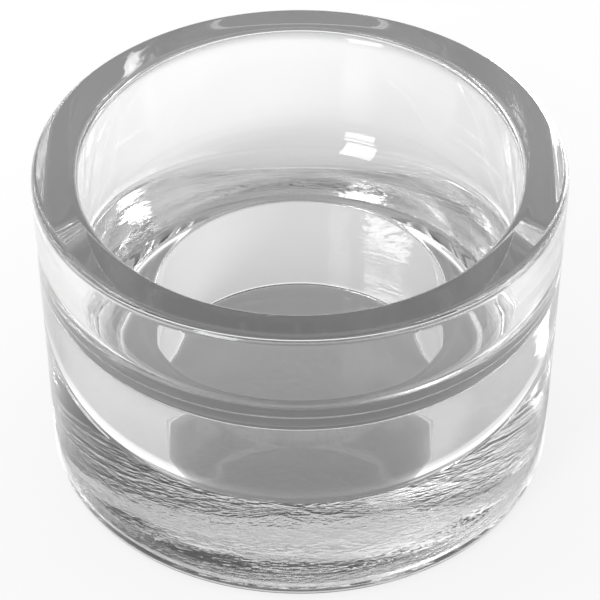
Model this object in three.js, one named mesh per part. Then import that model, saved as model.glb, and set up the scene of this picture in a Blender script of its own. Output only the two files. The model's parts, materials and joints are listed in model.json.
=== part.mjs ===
// Votive holder: one thick-walled cup of clear pressed glass.
// Its wide bore ends in a round bowl, which runs in to a small recess.
// The recess narrows a little to its floor, where it seats a tea light or a votive candle.
// Millimetres, +Z up, with the origin at the middle of the underside.

import * as THREE from 'three';

// Outside
const HEIGHT = 47.3;
const RIM_RADIUS = 36;
const OUTER_DRAFT = 2; // degrees by which the outside narrows towards the foot
const HEEL_ROUND = 2.2;

// Rim and bore
const WALL = 6.3; // between the outside and the bore, at the rim
const BORE_DRAFT = 0.9; // degrees by which the bore narrows downwards
const RIM_OUTER_ROUND = 1.2;
const RIM_INNER_ROUND = 1.5;
const BOWL_ROUND = 10.3; // from the bore wall in to the recess

// Candle recess
const CANDLE_RADIUS = 19;
const CANDLE_CLEARANCE = 0.3; // at the recess floor
const RECESS_DRAFT = 3; // degrees by which the recess narrows downwards
const RECESS_DEPTH = 14.5; // from its edge to its floor
const RECESS_EDGE_ROUND = 0.3;
const RECESS_FLOOR_ROUND = 0.4;
const BASE_THICKNESS = 10.5; // glass under the recess

// Fineness of the turned surface
const SEGMENTS = 72; // round the axis
const ROUND_STEP = 15; // most degrees between two points of a small rounding
const BOWL_STEP = 7; // most degrees between two points of the bowl

const degrees = THREE.MathUtils.degToRad;
const point = (radius, height) => new THREE.Vector2(radius, height);
const corner = (at, round = 0) => ({ at, round });

// Points of an arc, from one angle to another, both in radians.
function arc(centre, radius, from, to, step) {
  const steps = Math.ceil(Math.abs(to - from) / degrees(step));
  return Array.from({ length: steps + 1 }, (_, i) => {
    const angle = from + ((to - from) * i) / steps;
    return point(Math.cos(angle), Math.sin(angle)).multiplyScalar(radius).add(centre);
  });
}

// A corner of the outline, as the points of its rounding.
function roundedCorner({ at, round }, i, corners) {
  if (round === 0) {
    return [at];
  }
  const toLast = corners[i - 1].at.clone().sub(at).normalize();
  const toNext = corners[i + 1].at.clone().sub(at).normalize();
  const halfAngle = Math.acos(toLast.dot(toNext)) / 2;
  const toCentre = toLast.clone().add(toNext).normalize();
  const centre = toCentre.multiplyScalar(round / Math.sin(halfAngle)).add(at);
  const tangent = round / Math.tan(halfAngle);
  const start = toLast.multiplyScalar(tangent).add(at).sub(centre).angle();
  const end = toNext.multiplyScalar(tangent).add(at).sub(centre).angle();
  const turn = THREE.MathUtils.euclideanModulo(end - start + Math.PI, 2 * Math.PI) - Math.PI;
  return arc(centre, round, start, start + turn, ROUND_STEP);
}

// Points of the bowl. Its arc leaves the bore wall without a step and ends on the edge of the recess.
// Where the bore is too wide for the arc to get there, a flat shelf runs on from it to the edge.
function bowl(boreTop, edge) {
  const draft = degrees(BORE_DRAFT);
  const down = point(-Math.sin(draft), -Math.cos(draft));
  const inward = point(-Math.cos(draft), Math.sin(draft));
  const line = inward.clone().multiplyScalar(BOWL_ROUND).add(boreTop); // the arc's centre is on it
  const toEdge = edge.clone().sub(line);
  const reach = toEdge.dot(inward);
  const shelf = reach > BOWL_ROUND;
  const drop = shelf
    ? (line.y - edge.y - BOWL_ROUND) / Math.cos(draft)
    : toEdge.dot(down) - Math.sqrt(BOWL_ROUND ** 2 - reach ** 2);
  const centre = down.multiplyScalar(drop).add(line);
  const end = shelf ? -Math.PI / 2 : Math.atan2(edge.y - centre.y, edge.x - centre.x);
  const points = arc(centre, BOWL_ROUND, -draft, end, BOWL_STEP);
  return shelf ? points : points.slice(0, -1);
}

function glassBody() {
  const footRadius = RIM_RADIUS - HEIGHT * Math.tan(degrees(OUTER_DRAFT));
  const seatRadius = CANDLE_RADIUS + CANDLE_CLEARANCE;
  const edgeRadius = seatRadius + RECESS_DEPTH * Math.tan(degrees(RECESS_DRAFT));
  const boreTop = point(RIM_RADIUS - WALL, HEIGHT);
  const recessEdge = point(edgeRadius, BASE_THICKNESS + RECESS_DEPTH);

  const outline = [
    corner(point(0, 0)),
    corner(point(footRadius, 0), HEEL_ROUND),
    corner(point(RIM_RADIUS, HEIGHT), RIM_OUTER_ROUND),
    corner(boreTop, RIM_INNER_ROUND),
    ...bowl(boreTop, recessEdge).map((at) => corner(at)),
    corner(recessEdge, RECESS_EDGE_ROUND),
    corner(point(seatRadius, BASE_THICKNESS), RECESS_FLOOR_ROUND),
    corner(point(0, BASE_THICKNESS)),
  ].flatMap(roundedCorner);

  const geometry = new THREE.LatheGeometry(outline, SEGMENTS);
  geometry.rotateX(Math.PI / 2); // the lathe turns about Y
  const clearGlass = new THREE.MeshStandardMaterial({
    color: 0xeef1f1,
    roughness: 0.05,
    metalness: 0,
    transparent: true,
    opacity: 0.35,
  });
  const mesh = new THREE.Mesh(geometry, clearGlass);
  mesh.name = 'glass_body';
  return mesh;
}

const votiveHolder = new THREE.Group();
votiveHolder.add(glassBody());

export default votiveHolder;
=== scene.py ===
# %% [markdown]
# A clear glass votive holder, looked at from the front and a little above.
# The whole object is one lump of pressed glass: a thick cup with a wide bore, a bowl under the bore
# and a small round recess for the candle. This notebook turns that shape, presses the wavy chill
# marks into its underside, gives it clear glass, and stands it on a pale floor in soft light.
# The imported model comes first. It is the fixed frame that everything else has to agree with.

import json
import math

import bmesh
import bpy
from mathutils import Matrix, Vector, noise

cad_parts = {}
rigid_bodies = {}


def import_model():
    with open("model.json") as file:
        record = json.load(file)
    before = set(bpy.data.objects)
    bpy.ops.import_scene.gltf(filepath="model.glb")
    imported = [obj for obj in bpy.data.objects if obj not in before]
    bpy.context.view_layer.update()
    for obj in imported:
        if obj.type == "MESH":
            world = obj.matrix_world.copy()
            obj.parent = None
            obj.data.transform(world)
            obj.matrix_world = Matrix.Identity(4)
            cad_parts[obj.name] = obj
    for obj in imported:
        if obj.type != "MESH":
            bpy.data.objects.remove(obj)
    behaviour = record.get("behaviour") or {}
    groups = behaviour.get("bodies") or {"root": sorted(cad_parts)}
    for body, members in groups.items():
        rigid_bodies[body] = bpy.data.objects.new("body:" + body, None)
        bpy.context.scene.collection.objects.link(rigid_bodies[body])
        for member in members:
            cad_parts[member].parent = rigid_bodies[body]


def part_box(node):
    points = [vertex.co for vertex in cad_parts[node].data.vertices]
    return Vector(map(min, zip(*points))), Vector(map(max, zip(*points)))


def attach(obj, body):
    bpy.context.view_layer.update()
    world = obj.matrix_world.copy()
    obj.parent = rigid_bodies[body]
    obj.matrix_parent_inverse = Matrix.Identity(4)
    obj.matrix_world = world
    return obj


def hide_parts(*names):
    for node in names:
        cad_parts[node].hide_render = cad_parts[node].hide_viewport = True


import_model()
scene = bpy.context.scene
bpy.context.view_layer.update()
lowest_corner, highest_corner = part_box("glass_body")
body_height = highest_corner.z - lowest_corner.z
print(f"the CAD body is {2000 * highest_corner.x:.1f} mm across and {1000 * body_height:.1f} mm high")

# %% [markdown]
# The camera stands where the photographer stood. A long lens from half a metre away keeps the rim
# and the foot nearly the same width, as they are in the photograph. The place could be set by eye,
# but a few named values are easier to correct: how far the camera is from the rim's centre, how
# high it stands over the rim, and how far it is tipped down.

# %% Camera
camera_distance = 0.54
camera_elevation = math.radians(38.394)
camera_pitch = math.radians(40.291)
focal_length = 242.68

rim_centre = Vector((0, 0, body_height))
to_camera = Vector((0, -math.cos(camera_elevation), math.sin(camera_elevation)))
camera = bpy.data.objects.new("camera", bpy.data.cameras.new("camera"))
camera.data.lens = focal_length
camera.data.clip_end = 50
camera.location = rim_centre + camera_distance * to_camera
camera.rotation_euler = (math.pi / 2 - camera_pitch, 0, 0)
scene.collection.objects.link(camera)
scene.camera = camera
print("camera at", [round(c, 3) for c in camera.location])

# %% [markdown]
# The shape is a turned one, so half of its section is enough: a chain of corners in the plane of X
# and Z, from the middle of the underside out, up the outside, over the rim and down the bore to
# the middle of the recess floor. Modelling boxes and cutting cylinders out of them would work too,
# but an outline that is spun round the axis gives clean rings of faces, and glass shows every
# crooked one. The sizes are in millimetres until the spin. The height comes from the frame.

# %% Sizes of the section
rim_radius = 36
outer_draft = math.radians(2)
wall = 6.3
bore_draft = math.radians(0.9)
bowl_radius = 10.3
seat_radius = 19.3
recess_draft = math.radians(3)
recess_depth = 14.5
base_thickness = 10.5

mm = 0.001
top = body_height / mm
bore_radius = rim_radius - wall
foot_radius = rim_radius - top * math.tan(outer_draft)
edge_height = base_thickness + recess_depth
edge_radius = seat_radius + recess_depth * math.tan(recess_draft)
print(f"foot radius {foot_radius:.2f} mm, recess edge {edge_height:.1f} mm up")

# %% [markdown]
# The bowl is an arc. It has to leave the bore wall without a kink and end on the edge of the
# recess, so its centre lies one bowl radius in from the wall and one from the edge. One vertex
# that is spun about that centre will draw the arc.

# %% Centre of the bowl's arc
inward = Vector((-math.cos(bore_draft), 0, math.sin(bore_draft)))
down = Vector((-math.sin(bore_draft), 0, -math.cos(bore_draft)))
recess_edge = Vector((edge_radius, 0, edge_height))
bore_top = Vector((bore_radius, 0, top))
line_start = bore_top + bowl_radius * inward
to_edge = recess_edge - line_start
drop = to_edge.dot(down) - math.sqrt(bowl_radius**2 - to_edge.dot(inward) ** 2)
bowl_centre = line_start + drop * down
bowl_start = bowl_centre - bowl_radius * inward
bowl_turn = (bowl_start - bowl_centre).angle(recess_edge - bowl_centre)
print(f"the bowl turns {math.degrees(bowl_turn):.0f} degrees from {bowl_start.z:.1f} mm up")

# %% [markdown]
# Now the outline itself. Every real edge of the glass is one corner of the chain, left sharp for
# the moment, because a sharp corner is easy to place and easy to round later.

# %% Half section with sharp corners
section = bmesh.new()


def chain(points, start=None):
    """New vertices at the points, joined by edges, from an old vertex on if one is given."""
    verts = [section.verts.new(p) for p in points]
    line = [start, *verts] if start else verts
    for a, b in zip(line, line[1:]):
        section.edges.new((a, b))
    return verts


bowl_steps = 26
middle, heel, rim_outside, rim_inside, bowl_top = chain(
    [(0, 0, 0), (foot_radius, 0, 0), (rim_radius, 0, top), bore_top, bowl_start]
)
arc = bmesh.ops.spin(
    section, geom=[bowl_top], cent=bowl_centre, axis=(0, 1, 0), angle=bowl_turn, steps=bowl_steps
)
edge = arc["geom_last"][0]
recess_foot, recess_middle = chain(
    [(seat_radius, 0, base_thickness), (0, 0, base_thickness)], start=edge
)
miss = (edge.co - recess_edge).length
print(f"section of {len(section.verts)} corners; the bowl ends {1000 * miss:.2f} um off the edge")

# %% [markdown]
# No corner of pressed glass is sharp. The rim is fire polished to a soft round, the heel is the
# largest round, and the recess has a tight one at its edge and at its floor. Each catches light as a
# thin bright or dark line, so each is real geometry: a vertex bevel of the outline.

# %% Round the corners
roundings = [
    (heel, 2.2, 9),
    (rim_outside, 1.2, 8),
    (rim_inside, 1.5, 8),
    (edge, 0.3, 4),
    (recess_foot, 0.4, 5),
]
for corner, rounding_radius, steps in roundings:
    bmesh.ops.bevel(
        section,
        geom=[corner],
        offset=rounding_radius,
        offset_type="OFFSET",
        affect="VERTICES",
        segments=steps,
        profile=0.5,
        material=-1,
    )
print(f"section of {len(section.verts)} vertices after rounding")

# %% [markdown]
# The straight stretches are cut up before the spin. The underside needs the finest cuts, because
# the chill marks in it are only a millimetre or two long. The walls need a few, so that the smooth
# shading near a rounding does not bend the look of the whole wall.

# %% Cut up the straight stretches
underside_spacing = 0.22
wall_spacing = 4.0
nearly_zero = 1e-4


def cuts_in(stretch):
    """How many cuts a straight stretch of the section gets."""
    a, b = (v.co for v in stretch.verts)
    on_underside = max(a.z, b.z) < nearly_zero
    spacing = underside_spacing if on_underside else wall_spacing
    return math.ceil((a - b).length / spacing) - 1


for stretch in list(section.edges):
    cuts = cuts_in(stretch)
    if cuts > 0:
        bmesh.ops.subdivide_edges(section, edges=[stretch], cuts=cuts)
print(f"section of {len(section.verts)} vertices to spin")

# %% [markdown]
# One full spin round the axis makes the body. A few dozen steps would do for plaster, but glass
# bends the view at every facet, so the steps are as fine as the piece's share of triangles allows.
# The spin leaves the vertices on the axis doubled. They are merged, which closes both poles, and
# then the normals are recalculated, so that every face points outwards.

# %% Spin the section into the glass body
turns = 420
weld_distance = 1e-7
bmesh.ops.scale(section, vec=(mm, mm, mm), verts=section.verts)
bmesh.ops.spin(
    section,
    geom=section.verts[:] + section.edges[:],
    cent=(0, 0, 0),
    axis=(0, 0, 1),
    angle=math.tau,
    steps=turns,
    use_merge=True,
)
bmesh.ops.remove_doubles(section, verts=section.verts, dist=weld_distance)
bmesh.ops.recalc_face_normals(section, faces=section.faces)
triangles = sum(len(f.verts) - 2 for f in section.faces)
print(f"glass body: {triangles} triangles, volume {section.calc_volume() * 1e6:.1f} cm3")

# %% [markdown]
# Hot glass that meets a cold mould wrinkles. From the middle out, the underside of the holder has
# chill marks, which are short ripples and longer creases, then a smooth ring, then a finely pitted
# ring, and last the smooth heel that it stands on. Looked at through the wall they break the light
# into dashes. They could be a bump in the material, but they are a real relief and glass shows it
# from every side, so the vertices move. Inside the heel the underside is hollow by a hair, so
# everything moves up, into the glass.

# %% Sizes of the relief, in millimetres
hollow = 0.05
hollow_fade = 1.1
foot_ring = (24.6, 27.9)
ring_blur = 0.4
marks_end = (17.5, 21.0)

bend = 1.2
bend_length = 4
ripple_height = 0.025
ripple_length = 0.48
ripple_falloff = 0.8
ripple_ratio = 2.1
ripple_octaves = 2
crease_height = 0.025
crease_length = 4.0
crease_sharpness = 6
crease_shift = Vector((3, 1, 2))
smooth_ring_height = 0.008
pit_height = 0.035
pit_length = 0.45
pit_shift = Vector((0, 0, 7))
print(f"chill marks out to {marks_end[1]} mm, pits from {foot_ring[0]} to {foot_ring[1]} mm")

# %% [markdown]
# Blender's noise gives all three patterns. The ripples are fractal noise on a bent grid, so that
# they run in curved rows. The creases are the places where a coarser noise passes through zero. The
# pits are plain noise. Creases and pits are shifted to their own parts of the noise, so that the
# patterns don't line up. The bend is a noise vector, which starts from the clock unless a seed is
# set, so one is set, and every run gives the same marks.

# %% Ripples, creases and pits
noise_seed = 1
noise.seed_set(noise_seed)


def smoothstep(low_end, high_end, value):
    """Runs softly from 0 at the low end to 1 at the high end."""
    t = min(1, max(0, (value - low_end) / (high_end - low_end)))
    return t * t * (3 - 2 * t)


def chill_marks(place):
    """The ripples alone, and the ripples together with the creases."""
    bent = place + bend * noise.noise_vector(place / bend_length)
    ripples = noise.fractal(bent / ripple_length, ripple_falloff, ripple_ratio, ripple_octaves)
    creases = 1 - abs(noise.noise(bent / crease_length + crease_shift))
    wrinkles = ripple_height * ripples + crease_height * creases**crease_sharpness
    return ripples, wrinkles


def relief(x, y):
    """How far a point of the underside is raised, in millimetres."""
    out = math.hypot(x, y)
    place = Vector((x, y, 0))
    ripples, wrinkles = chill_marks(place)
    pits = noise.noise(place / pit_length + pit_shift)
    inner, outer = foot_ring
    marked = 1 - smoothstep(*marks_end, out)
    past_inner = smoothstep(inner - ring_blur, inner + ring_blur, out)
    past_outer = smoothstep(outer - ring_blur, outer + ring_blur, out)
    pitted = past_inner * (1 - past_outer)
    base = hollow * (1 - smoothstep(outer, outer + hollow_fade, out))
    marks = marked * wrinkles + (1 - marked) * (1 - past_inner) * smooth_ring_height * ripples
    return max(0, base + marks + pitted * pit_height * pits)


# %% [markdown]
# Only the flat part inside the heel moves, straight up. The rounding of the heel and its flat ring
# stay as they were spun, and they carry the holder.

# %% Press the relief into the underside
moved = 0
for vertex in section.verts:
    x, y, z = vertex.co / mm
    if z < nearly_zero and math.hypot(x, y) < foot_ring[1] + hollow_fade:
        vertex.co.z += relief(x, y) * mm
        moved += 1
lowest = min(v.co.z for v in section.verts)
print(f"{moved} vertices moved, lowest point {1e6 * lowest:.1f} um")

# %% [markdown]
# The mesh is finished, so it becomes an object. It stays at the origin, unturned and unscaled, with
# its place in its mesh, as the CAD body's is. Smooth shading hides the facets of the spin.

# %% Glass body object
mesh = bpy.data.meshes.new("pressed_glass_cup")
section.to_mesh(mesh)
section.free()
mesh.shade_smooth()
cup = bpy.data.objects.new("pressed_glass_cup", mesh)
scene.collection.objects.link(cup)
print(f"{cup.name} has {len(mesh.polygons)} faces")

# %% [markdown]
# The cup stands for the CAD body, which is hidden in the picture and stays where it is for the
# collision. It rides on the one body that the part has.

# %% The cup takes the place of the CAD body
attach(cup, "root")
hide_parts("glass_body")

# %% [markdown]
# The materials below are node trees, and the same few steps come up in all of them: a Math node, a
# soft fade between two values, a mix of two shaders. Clicking them together by hand is how it is
# done in the editor. In a script, one small helper for each keeps the trees readable.

# %% Helpers for node trees


def join(tree, value, socket):
    """Links a value to a socket if it is a socket too, or else sets it."""
    if isinstance(value, bpy.types.NodeSocket):
        tree.links.new(value, socket)
    else:
        socket.default_value = value


def calculate(tree, operation, first, second):
    """A Math node; each input is a socket or a number."""
    node = tree.nodes.new("ShaderNodeMath")
    node.operation = operation
    join(tree, first, node.inputs[0])
    join(tree, second, node.inputs[1])
    return node.outputs[0]


def fade(tree, value, zero_at, one_at):
    """A Map Range node that runs smoothly from 0 to 1."""
    node = tree.nodes.new("ShaderNodeMapRange")
    node.interpolation_type = "SMOOTHSTEP"
    join(tree, value, node.inputs["Value"])
    join(tree, zero_at, node.inputs["From Min"])
    join(tree, one_at, node.inputs["From Max"])
    return node.outputs["Result"]


def straight_ramp(tree, value, value_range, result_range):
    """A Map Range node that runs straight from one result to the other."""
    node = tree.nodes.new("ShaderNodeMapRange")
    join(tree, value, node.inputs["Value"])
    node.inputs["From Min"].default_value, node.inputs["From Max"].default_value = value_range
    node.inputs["To Min"].default_value, node.inputs["To Max"].default_value = result_range
    return node.outputs["Result"]


def blend(tree, share, without, wholly):
    """A Mix Shader node: the first shader where the share is 0, and the second where it is 1."""
    node = tree.nodes.new("ShaderNodeMixShader")
    join(tree, share, node.inputs[0])
    tree.links.new(without, node.inputs[1])
    tree.links.new(wholly, node.inputs[2])
    return node.outputs[0]


# %% [markdown]
# The glass changes with the distance from the axis, as the rings of a turned thing do, and so do
# the floor's painted shade and painted ring of light round the holder. A painted mask would need an
# image, so a node group works it out: 1 inside a radius, 0 outside, with a soft border. It is built
# once and both materials use it. The difference of two such discs is a ring.

# %% Node group for a disc round the axis
disc = bpy.data.node_groups.new("disc_round_the_axis", "ShaderNodeTree")
disc.interface.new_socket("Position", in_out="INPUT", socket_type="NodeSocketVector")
disc.interface.new_socket("Radius", in_out="INPUT", socket_type="NodeSocketFloat")
disc.interface.new_socket("Blur", in_out="INPUT", socket_type="NodeSocketFloat")
disc.interface.new_socket("Inside", in_out="OUTPUT", socket_type="NodeSocketFloat")
given = disc.nodes.new("NodeGroupInput")
flattened = disc.nodes.new("ShaderNodeVectorMath")
flattened.operation = "MULTIPLY"
disc.links.new(given.outputs["Position"], flattened.inputs[0])
flattened.inputs[1].default_value = (1, 1, 0)
from_axis = disc.nodes.new("ShaderNodeVectorMath")
from_axis.operation = "LENGTH"
disc.links.new(flattened.outputs["Vector"], from_axis.inputs[0])
border_start = calculate(disc, "SUBTRACT", given.outputs["Radius"], given.outputs["Blur"])
border_end = calculate(disc, "ADD", given.outputs["Radius"], given.outputs["Blur"])
inside = fade(disc, from_axis.outputs["Value"], border_end, border_start)
result = disc.nodes.new("NodeGroupOutput")
disc.links.new(inside, result.inputs["Inside"])


def disc_mask(tree, position, radius, blur):
    """The disc group in a tree; radius and blur in metres."""
    node = tree.nodes.new("ShaderNodeGroup")
    node.node_tree = disc
    tree.links.new(position, node.inputs["Position"])
    node.inputs["Radius"].default_value = radius
    node.inputs["Blur"].default_value = blur
    return node.outputs["Inside"]


print(f"{disc.name}: {len(disc.nodes)} nodes")

# %% [markdown]
# Clear glass is a smooth dielectric, so nearly all of its look is refraction. The colour stays
# white, and a faint absorption in the volume makes long ways through the glass darker than short
# ones, which a surface colour can't do.

# %% Glass material
absorbed_grey = 0.9
absorption_density = 20
clear_glass = bpy.data.materials.new("clear_pressed_glass")
clear_glass.use_nodes = True
glass_tree = clear_glass.node_tree
surface = glass_tree.nodes["Principled BSDF"]
surface.inputs["Base Color"].default_value = (1, 1, 1, 1)
surface.inputs["Roughness"].default_value = 0.0
surface.inputs["IOR"].default_value = 1.5
surface.inputs["Transmission Weight"].default_value = 1.0
absorption = glass_tree.nodes.new("ShaderNodeVolumeAbsorption")
absorption.inputs["Color"].default_value = (absorbed_grey, absorbed_grey, absorbed_grey, 1)
absorption.inputs["Density"].default_value = absorption_density
volume = glass_tree.nodes["Material Output"].inputs["Volume"]
glass_tree.links.new(absorption.outputs[0], volume)
mesh.materials.append(clear_glass)
print(f"{clear_glass.name} is on {cup.name}")

# %% [markdown]
# The finish changes over the body. The walls and the rim are fire polished, and the chill marks and
# the pitted ring under the base have a grain that is finer than the mesh can hold. Object
# coordinates say where each is: the underside by height, and its zones by distance from the axis.

# %% Where the glass is grained
grain_edge = 19.5 * mm
grain_blur = 1.5 * mm
grain_gone_height = 0.5 * mm
grain_full_height = 0.3 * mm
place = glass_tree.nodes.new("ShaderNodeTexCoord").outputs["Object"]
apart = glass_tree.nodes.new("ShaderNodeSeparateXYZ")
glass_tree.links.new(place, apart.inputs[0])
on_underside = fade(glass_tree, apart.outputs["Z"], grain_gone_height, grain_full_height)
ring_start, ring_end = (
    disc_mask(glass_tree, place, radius * mm, ring_blur * mm) for radius in foot_ring
)
on_ring = calculate(glass_tree, "SUBTRACT", ring_end, ring_start)
on_marks = disc_mask(glass_tree, place, grain_edge, grain_blur)
rough_part = calculate(glass_tree, "MAXIMUM", on_ring, on_marks)
grained_part = calculate(glass_tree, "MULTIPLY", rough_part, on_underside)
print(f"{clear_glass.name}: {len(glass_tree.nodes)} nodes with the masks")

# %% [markdown]
# A mould never leaves a wall quite flat, so a long, very faint wave lies over all faces. The grain
# lies on top of it where the masks are. Both are too slight to change an outline, which is why they
# are bumps: noise that tips the normal. The depth of each Bump node is the real depth.

# %% Waves and grain of the glass
wave_length = 9 * mm
wave_depth = 0.008 * mm
grain_length = 0.35 * mm
grain_depth = 0.018 * mm


def noise_texture(length, detail):
    """Noise over Object coordinates; length is the size of its coarsest lumps."""
    node = glass_tree.nodes.new("ShaderNodeTexNoise")
    glass_tree.links.new(place, node.inputs["Vector"])
    node.inputs["Scale"].default_value = 1 / length
    node.inputs["Detail"].default_value = detail
    return node.outputs["Fac"]


def bump(pattern, depth, under=None):
    """A Bump node; depth is the real height of the pattern, and under is the normal below it."""
    node = glass_tree.nodes.new("ShaderNodeBump")
    glass_tree.links.new(pattern, node.inputs["Height"])
    node.inputs["Strength"].default_value = 1
    node.inputs["Distance"].default_value = depth
    if under:
        glass_tree.links.new(under, node.inputs["Normal"])
    return node.outputs["Normal"]


waves = bump(noise_texture(wave_length, 1), wave_depth)
grain = calculate(glass_tree, "MULTIPLY", noise_texture(grain_length, 2), grained_part)
grained = bump(grain, grain_depth, under=waves)
glass_tree.links.new(grained, surface.inputs["Normal"])
print(f"{clear_glass.name}: {len(glass_tree.nodes)} nodes in all")

# %% [markdown]
# The floor is one plain sheet, a hair under the holder so that the two never share a plane. It could
# be bent up at the back like a sweep of paper, but the camera looks down and sees no horizon.

# %% Floor
floor_gap = 0.03 * mm
floor_size = 12.0
sheet = bmesh.new()
bmesh.ops.create_grid(sheet, x_segments=1, y_segments=1, size=floor_size / 2)
bmesh.ops.translate(sheet, vec=(0, 0, -floor_gap), verts=sheet.verts)
floor_mesh = bpy.data.meshes.new("floor")
sheet.to_mesh(floor_mesh)
sheet.free()
floor = bpy.data.objects.new("floor", floor_mesh)
scene.collection.objects.link(floor)
print(f"floor {floor_size:.0f} m wide, {1000 * floor_gap:.2f} mm under the holder")

# %% [markdown]
# The lamps light the floor as they would light paper, and that gives the shadow. A glow is added
# for the camera, for mirrors and for glass, by Light Path, so it lights nothing. Under and near the
# holder the glow is painted shade: it grows from dark in front to lighter at the back, where the
# panel of the studio is, and further out it is one even, brighter value. A narrow ring of painted
# light round the foot, which only mirrors and glass see, stands for the light that thick glass
# gathers there. Real caustics would do that too, but they are slow and noisy.

# %% How strongly the floor glows, with its painted shade
# Painted shade under the holder: the glow is darker in front and lighter towards the back.
front_painted_shade = 0.17
back_painted_shade = 0.33
painted_shade_reach = 26 * mm
far_glow = 0.42
far_start = 1.5 * rim_radius * mm
far_full = 2.6 * rim_radius * mm
gathered_glow = 0.75
gathered_inner = (0.99 * foot_radius * mm, 0.01 * foot_radius * mm)
gathered_outer = (1.045 * foot_radius * mm, 0.025 * foot_radius * mm)

pale_floor = bpy.data.materials.new("pale_floor")
pale_floor.use_nodes = True
floor_tree = pale_floor.node_tree
floor_tree.nodes.clear()
path = floor_tree.nodes.new("ShaderNodeLightPath")
floor_place = floor_tree.nodes.new("ShaderNodeTexCoord").outputs["Object"]
floor_apart = floor_tree.nodes.new("ShaderNodeSeparateXYZ")
floor_tree.links.new(floor_place, floor_apart.inputs[0])

# The painted shade runs straight from the front value to the back value along Y.
painted_shade_glow = straight_ramp(
    floor_tree, floor_apart.outputs["Y"], (-painted_shade_reach, painted_shade_reach), (front_painted_shade, back_painted_shade)
)
# Painted shadow round the holder: inside this disc the floor glows with the painted shade, outside it
# with the brighter far value.
painted_shade_disc = disc_mask(floor_tree, floor_place, (far_full + far_start) / 2, (far_full - far_start) / 2)
glow_with_painted_shade = floor_tree.nodes.new("ShaderNodeMix")
floor_tree.links.new(painted_shade_disc, glow_with_painted_shade.inputs["Factor"])
glow_with_painted_shade.inputs["A"].default_value = far_glow
floor_tree.links.new(painted_shade_glow, glow_with_painted_shade.inputs["B"])

in_glass = calculate(
    floor_tree, "MAXIMUM", path.outputs["Is Glossy Ray"], path.outputs["Is Transmission Ray"]
)
# Painted light: a narrow ring round the foot that only mirrors and glass see.
ring_inside, ring_outside = (
    disc_mask(floor_tree, floor_place, *border) for border in (gathered_inner, gathered_outer)
)
gathered = calculate(floor_tree, "SUBTRACT", ring_outside, ring_inside)
gathered = calculate(floor_tree, "MULTIPLY", gathered, in_glass)
gathered = calculate(floor_tree, "MULTIPLY", gathered, gathered_glow)
strength = calculate(floor_tree, "ADD", gathered, glow_with_painted_shade.outputs["Result"])
seen = calculate(floor_tree, "MAXIMUM", in_glass, path.outputs["Is Camera Ray"])
strength = calculate(floor_tree, "MULTIPLY", strength, seen)
print(f"floor glow from {front_painted_shade} in front to {back_painted_shade} at the back, {far_glow} far out")

# %% [markdown]
# Three shaders make the floor: a matt one for the lamps, the glow with its painted shade and light on
# top of it, and plain white at a strength of 1. A camera ray takes most of the white, so the picture
# gets its pale ground, and the rest still shows the lamps' shadow and the painted shade.

# %% Shaders of the floor
floor_colour = 0.7
camera_share = 0.8
paper = floor_tree.nodes.new("ShaderNodeBsdfDiffuse")
paper.inputs["Color"].default_value = (floor_colour, floor_colour, floor_colour, 1)
glow = floor_tree.nodes.new("ShaderNodeEmission")
floor_tree.links.new(strength, glow.inputs["Strength"])
white = floor_tree.nodes.new("ShaderNodeEmission")
white.inputs["Strength"].default_value = 1.0
lit = floor_tree.nodes.new("ShaderNodeAddShader")
floor_tree.links.new(paper.outputs[0], lit.inputs[0])
floor_tree.links.new(glow.outputs[0], lit.inputs[1])
white_share = calculate(floor_tree, "MULTIPLY", path.outputs["Is Camera Ray"], camera_share)
floor_look = blend(floor_tree, white_share, lit.outputs[0], white.outputs[0])
floor_output = floor_tree.nodes.new("ShaderNodeOutputMaterial")
floor_tree.links.new(floor_look, floor_output.inputs["Surface"])
floor_mesh.materials.append(pale_floor)
print(f"{pale_floor.name}: {len(floor_tree.nodes)} nodes")

# %% [markdown]
# Glass shows its surroundings, so the studio matters as much as the shape. Behind the holder the
# room is dark up to the lower edge of a bright panel, and in front it is evenly pale. Cards could
# stand there, but the world does the same with two ramps over the height of the view direction.
# The height is tipped a little, so that the panel's edge comes lower on the left than on the right.

# %% The room behind and in front
panel_tilt = 0.046
panel_start = 44.2
world = bpy.data.worlds.new("studio")
scene.world = world
world.use_nodes = True
world_tree = world.node_tree
world_tree.nodes.clear()
direction = world_tree.nodes.new("ShaderNodeSeparateXYZ")
generated = world_tree.nodes.new("ShaderNodeTexCoord").outputs["Generated"]
world_tree.links.new(generated, direction.inputs[0])
tipped = calculate(world_tree, "MULTIPLY", direction.outputs["X"], -panel_tilt)
view_height = calculate(world_tree, "ADD", tipped, direction.outputs["Z"])


def elevation_ramp(stops):
    """Greys over the elevation in degrees, from the horizon up."""
    ramp = world_tree.nodes.new("ShaderNodeValToRGB")
    world_tree.links.new(view_height, ramp.inputs[0])
    elements = ramp.color_ramp.elements
    while len(elements) < len(stops):
        elements.new(0.5)
    for element, (degrees, grey) in zip(elements, stops):
        element.position = math.sin(math.radians(degrees))
        element.color = (grey, grey, grey, 1)
    return ramp.outputs[0]


behind = elevation_ramp(
    [(0, 0.05), (panel_start, 0.09), (45.6, 1.3), (52, 1.1), (60, 0.8), (66, 0.3), (90, 0.5)]
)
in_front = elevation_ramp([(0, 1.0), (20, 0.6), (40, 0.7), (60, 0.9), (90, 0.5)])
print(f"the panel starts {panel_start} degrees up, straight behind the holder")

# %% [markdown]
# The two ramps fade into each other at the sides, and the whole room is brighter on the left than
# on the right. The camera itself sees a white background at a strength of 1, so that low views
# have no dark strip over the floor.

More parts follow.
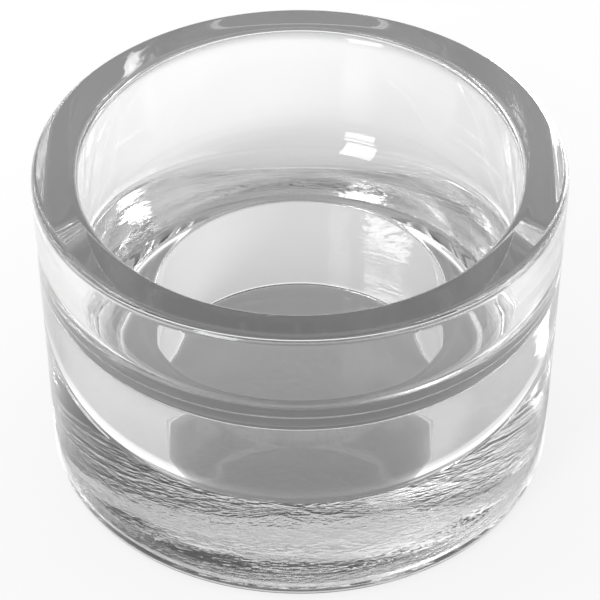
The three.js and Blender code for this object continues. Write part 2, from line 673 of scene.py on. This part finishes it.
# %% World
front_to_back = (-0.1, 0.3)
side_reach = 0.7
left_strength = 1.1
right_strength = 0.6
room = world_tree.nodes.new("ShaderNodeMix")
room.data_type = "RGBA"
to_back = fade(world_tree, direction.outputs["Y"], *front_to_back)
world_tree.links.new(to_back, room.inputs["Factor"])
world_tree.links.new(in_front, room.inputs["A"])
world_tree.links.new(behind, room.inputs["B"])
room_strength = straight_ramp(
    world_tree, direction.outputs["X"], (-side_reach, side_reach), (left_strength, right_strength)
)
studio = world_tree.nodes.new("ShaderNodeBackground")
world_tree.links.new(room.outputs["Result"], studio.inputs["Color"])
world_tree.links.new(room_strength, studio.inputs["Strength"])
white_ground = world_tree.nodes.new("ShaderNodeBackground")
white_ground.inputs["Color"].default_value = (1, 1, 1, 1)
white_ground.inputs["Strength"].default_value = 1.0
world_path = world_tree.nodes.new("ShaderNodeLightPath")
world_look = blend(
    world_tree, world_path.outputs["Is Camera Ray"], studio.outputs[0], white_ground.outputs[0]
)
world_output = world_tree.nodes.new("ShaderNodeOutputWorld")
world_tree.links.new(world_look, world_output.inputs["Surface"])
print(f"{world.name}: {len(world_tree.nodes)} nodes")

# %% [markdown]
# A two-pane window stands in front and to the left. Its image lies on the bowl, so its place is
# worked out from there: the two directions in which the bowl mirrors the camera's view. A wide
# soft lamp hangs overhead for the floor, and glass doesn't show it.

# %% Lamps


def softbox(name, place, target, width, depth, radiance, seen):
    """A rectangular lamp that faces its target; radiance is how bright it looks."""
    lamp = bpy.data.lights.new(name, "AREA")
    lamp.shape = "RECTANGLE"
    lamp.size = width
    lamp.size_y = depth
    lamp.energy = radiance * math.pi * width * depth
    lamp_object = bpy.data.objects.new(name, lamp)
    lamp_object.location = place
    away = Vector(place) - Vector(target)
    lamp_object.rotation_euler = away.to_track_quat("Z", "Y").to_euler()
    lamp_object.visible_camera = False
    lamp_object.visible_glossy = seen
    lamp_object.visible_transmission = seen
    scene.collection.objects.link(lamp_object)
    print(f"{name}: {lamp.energy:.2f} W at", [round(c, 2) for c in lamp_object.location])


def window_pane(name, azimuth, low, high):
    """A pane; angles in degrees, azimuth clockwise from +Y, as seen from the bowl."""
    middle = math.radians((low + high) / 2)
    turned = math.radians(azimuth)
    level = Vector((math.sin(turned), math.cos(turned), 0))
    toward = level * math.cos(middle) + Vector((0, 0, math.sin(middle)))
    width = 2 * window_distance * math.tan(math.radians(pane_angle / 2))
    height = 2 * window_distance * math.tan(math.radians((high - low) / 2))
    place = mirror_point + window_distance * toward
    softbox(name, place, mirror_point, width, height, window_radiance, seen=True)


mirror_point = Vector((8.6, 26.5, 29.7)) * mm
window_distance = 1.2
pane_angle = 15
window_radiance = 9
window_pane("window_lower", azimuth=211, low=6.6, high=19.5)
window_pane("window_upper", azimuth=213, low=22, high=42)
softbox("overhead", (0, 0, 0.6), (0, 0, 0), width=0.7, depth=0.7, radiance=0.8, seen=False)

# %% [markdown]
# A ray can bounce many times inside thick glass before it gets out, and one that is cut short
# comes back black. So the limits are high. Caustics stay off, because the floor's ring of light
# stands for them, and the view transform is the plain one, so colours come out as they are set.

# %% Light and colour settings
most_bounces = 32
scene.view_settings.view_transform = "Standard"
scene.cycles.max_bounces = most_bounces
scene.cycles.glossy_bounces = most_bounces
scene.cycles.transmission_bounces = most_bounces
scene.cycles.caustics_refractive = False
scene.cycles.caustics_reflective = False
print(f"up to {most_bounces} bounces, view transform {scene.view_settings.view_transform}")
